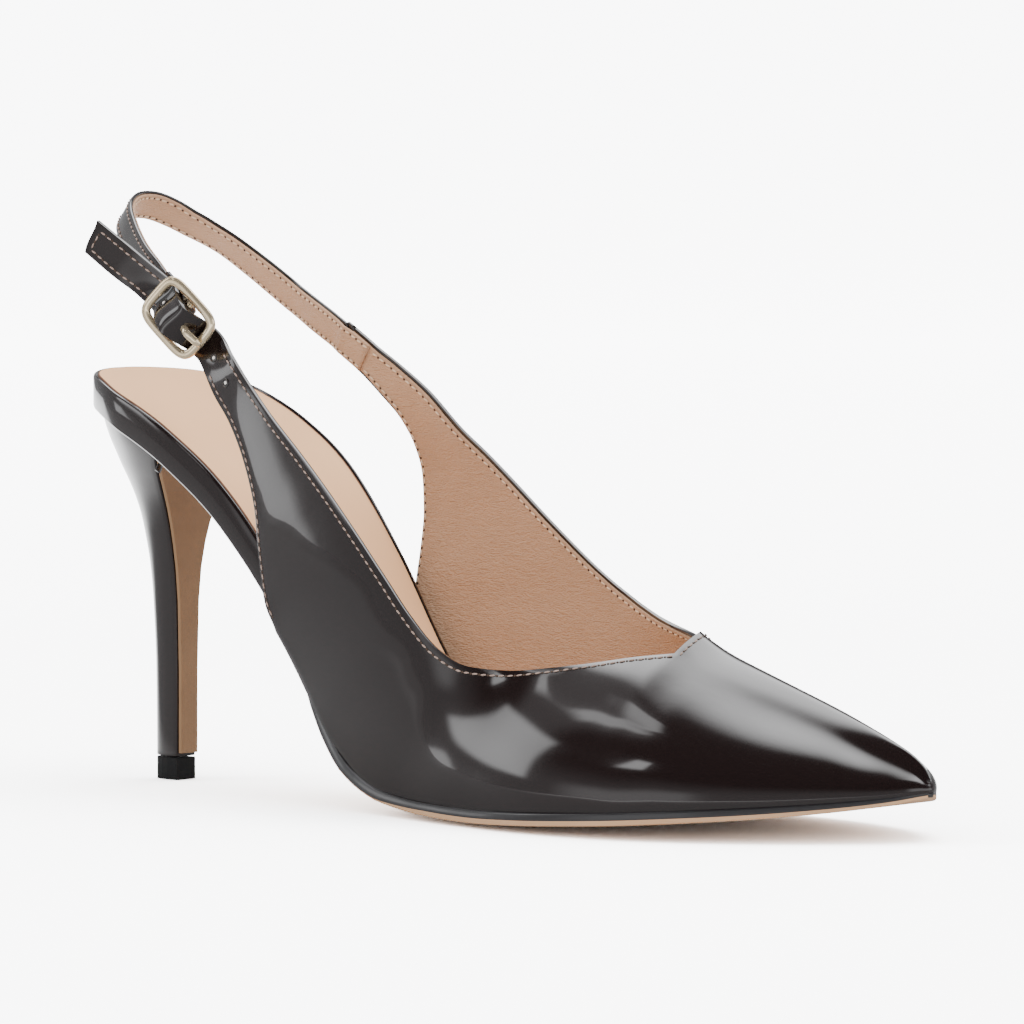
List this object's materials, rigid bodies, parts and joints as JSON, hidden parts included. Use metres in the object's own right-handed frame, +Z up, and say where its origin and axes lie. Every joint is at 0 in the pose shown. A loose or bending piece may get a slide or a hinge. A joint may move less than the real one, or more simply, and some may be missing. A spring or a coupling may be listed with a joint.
{
  "type": "pointed-toe slingback stiletto pump",
  "caption": "Right shoe with a pointed closed toe, low-cut sides, an open back held by a buckled sling strap, and a slim high heel.",
  "frame": {"origin": "on the floor, under the middle of the bounding box", "axes": "+X from heel to toe, +Y to the inner side of the foot, +Z up"},
  "size_m": [0.2524, 0.0768, 0.1435],
  "materials": {
    "patent": "patent, high gloss",
    "heel_cover": "moulded heel covered in patent, high gloss",
    "sole_leather": "smooth, satin",
    "sock_leather": "smooth, satin",
    "tip_rubber": "matte",
    "gilt": "polished pale gold"
  },
  "bodies": {
    "root": {"outsole": "sole_leather", "footbed": "patent", "sock": "sock_leather", "heel": "heel_cover", "breast_flap": "sole_leather", "heel_tip": "tip_rubber", "upper": "patent", "sling_strap": "patent", "buckle_frame": "gilt", "buckle_prong": "gilt"}
  },
  "joints": []
}
